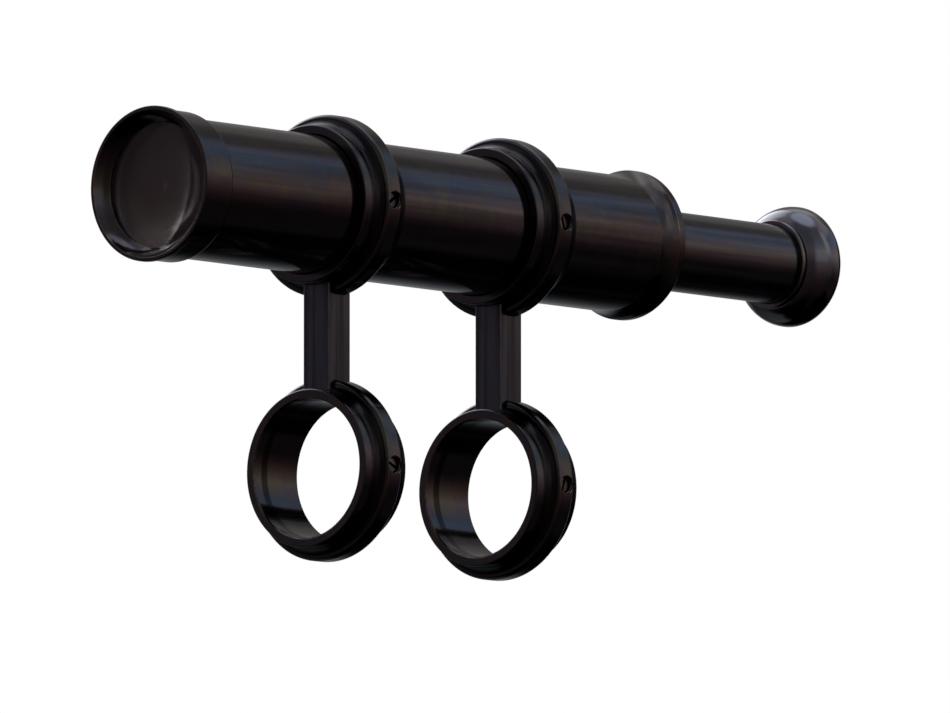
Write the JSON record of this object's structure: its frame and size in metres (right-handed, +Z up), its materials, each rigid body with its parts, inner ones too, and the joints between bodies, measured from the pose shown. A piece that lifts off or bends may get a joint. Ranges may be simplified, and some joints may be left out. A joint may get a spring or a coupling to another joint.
{
  "type": "finder scope",
  "caption": "Small refracting finder telescope with a sliding focus tube, held over a host tube by ring-and-post brackets with set screws.",
  "frame": {"origin": "centre of the bore of the front lower ring, level with the post and the set screws", "axes": "+X forward along the bore and the optical axis towards the objective, +Z up from the lower rings to the finder tube, +Y to the side that carries the set screws"},
  "size_m": [0.2615, 0.0475, 0.1166],
  "materials": {
    "bronze_turned": "dark polished bronze, lathe turned",
    "bronze_tube": "dark polished bronze, drawn tube",
    "bronze_bar": "dark bronze, satin drawn bar",
    "bare_brass": "machined",
    "black_metal": "matt black inside an instrument",
    "lens_glass": "polished optical glass",
    "screw_steel": "blackened steel"
  },
  "bodies": {
    "brackets": {"front_upper_ring": "bronze_turned", "rear_upper_ring": "bronze_turned", "front_lower_ring": "bronze_turned", "rear_lower_ring": "bronze_turned", "front_post": "bronze_bar", "rear_post": "bronze_bar"},
    "finder": {"main_tube": "bronze_tube", "objective_cell": "bronze_turned", "objective_crown_lens": "lens_glass", "objective_spacer_ring": "black_metal", "objective_flint_lens": "lens_glass", "objective_retaining_ring": "black_metal", "tube_baffle": "black_metal", "end_ring": "bronze_turned", "draw_guide_sleeve": "bronze_turned"},
    "draw": {"draw_tube": "bronze_tube", "draw_stop_collar": "bare_brass", "reticle_ring": "black_metal", "reticle_wires": "black_metal", "eyepiece_field_lens": "lens_glass", "eyepiece_spacer": "black_metal", "eyepiece_eye_lens": "lens_glass", "eyepiece_retaining_ring": "black_metal", "eyecup": "bronze_turned"},
    "front_upper_screw": {"front_upper_set_screw": "screw_steel"},
    "rear_upper_screw": {"rear_upper_set_screw": "screw_steel"},
    "front_lower_screw": {"front_lower_set_screw": "screw_steel"},
    "rear_lower_screw": {"rear_lower_set_screw": "screw_steel"}
  },
  "joints": [
    {"name": "finder_slide", "type": "slide", "parent": "brackets", "child": "finder", "axis": [1, 0, 0], "range_m": [-0.0495, 0.0345]},
    {"name": "focus_slide", "type": "slide", "parent": "finder", "child": "draw", "axis": [-1, 0, 0], "range_m": [-0.0565, 0.0105]},
    {"name": "front_upper_screw_turn", "type": "hinge", "parent": "brackets", "child": "front_upper_screw", "pos_m": [0, 0.02, 0.069], "axis": [0, 1, 0], "range_deg": [0, 450]},
    {"name": "rear_upper_screw_turn", "type": "hinge", "parent": "brackets", "child": "rear_upper_screw", "pos_m": [-0.0684, 0.02, 0.069], "axis": [0, 1, 0], "range_deg": [0, 450]},
    {"name": "front_lower_screw_turn", "type": "hinge", "parent": "brackets", "child": "front_lower_screw", "pos_m": [0, 0.02, 0], "axis": [0, 1, 0], "range_deg": [0, 450]},
    {"name": "rear_lower_screw_turn", "type": "hinge", "parent": "brackets", "child": "rear_lower_screw", "pos_m": [-0.0684, 0.02, 0], "axis": [0, 1, 0], "range_deg": [0, 450]}
  ]
}
